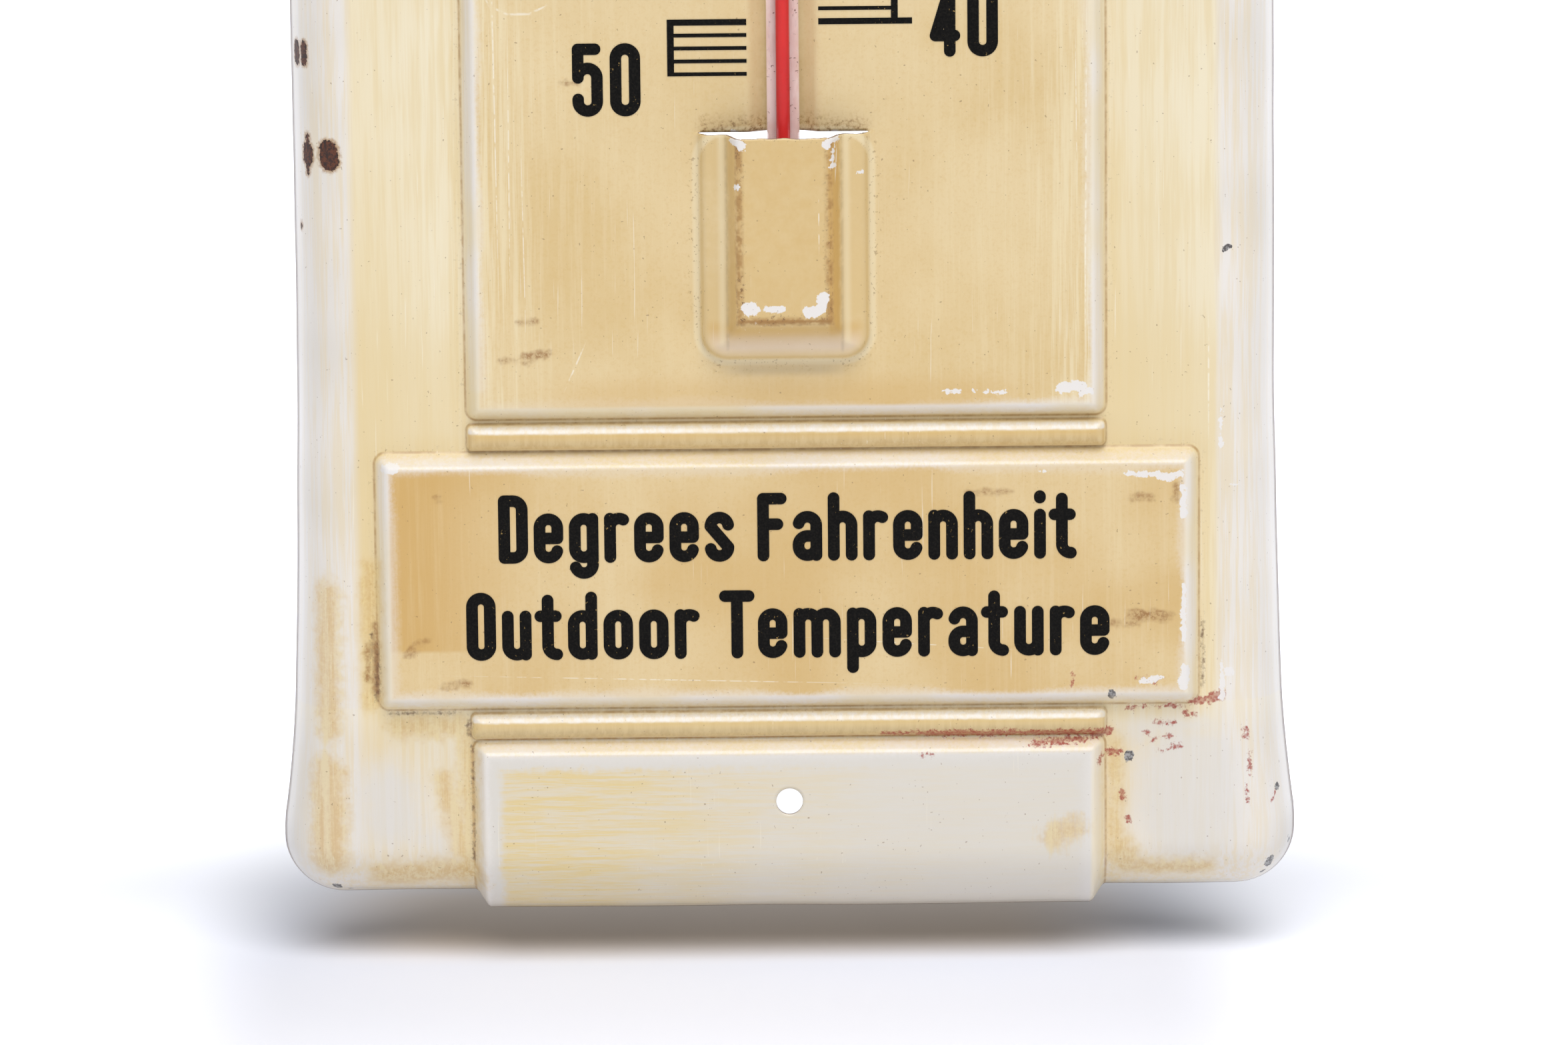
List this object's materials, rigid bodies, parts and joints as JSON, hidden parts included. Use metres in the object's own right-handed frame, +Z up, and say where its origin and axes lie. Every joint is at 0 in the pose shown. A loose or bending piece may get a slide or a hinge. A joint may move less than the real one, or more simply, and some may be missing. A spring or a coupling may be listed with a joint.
{
  "type": "wall thermometer",
  "caption": "Stamped tin wall thermometer: a sealed spirit tube in a grooved dial panel over a printed Fahrenheit ladder, its bulb behind a lanced pocket.",
  "frame": {"origin": "midway between the two nail holes, in the plane of the raised dial and end panels", "axes": "+X to the reader's right, +Y into the wall, +Z up"},
  "size_m": [0.1532, 0.0178, 0.381],
  "materials": {
    "enamelled_tin": "aged cream enamel",
    "tube_glass": "clear, white backed",
    "red_spirit": "dyed liquid",
    "strap_metal": "dull, aged",
    "black_ink": "gloss ink"
  },
  "bodies": {
    "thermometer": {"panel": "enamelled_tin", "glass_tube": "tube_glass", "spirit_reservoir": "red_spirit", "spirit_column": "red_spirit", "tube_strap": "strap_metal", "scale_print_left": "black_ink", "scale_print_right": "black_ink", "numerals_print": "black_ink", "caption_print": "black_ink"},
    "spirit_level": {"spirit_meniscus": "red_spirit"}
  },
  "joints": [
    {"name": "spirit_level", "type": "slide", "parent": "thermometer", "child": "spirit_level", "axis": [0, 0, 1], "range_m": [-0.11755, 0.04625], "deforming": ["spirit_column"]}
  ]
}
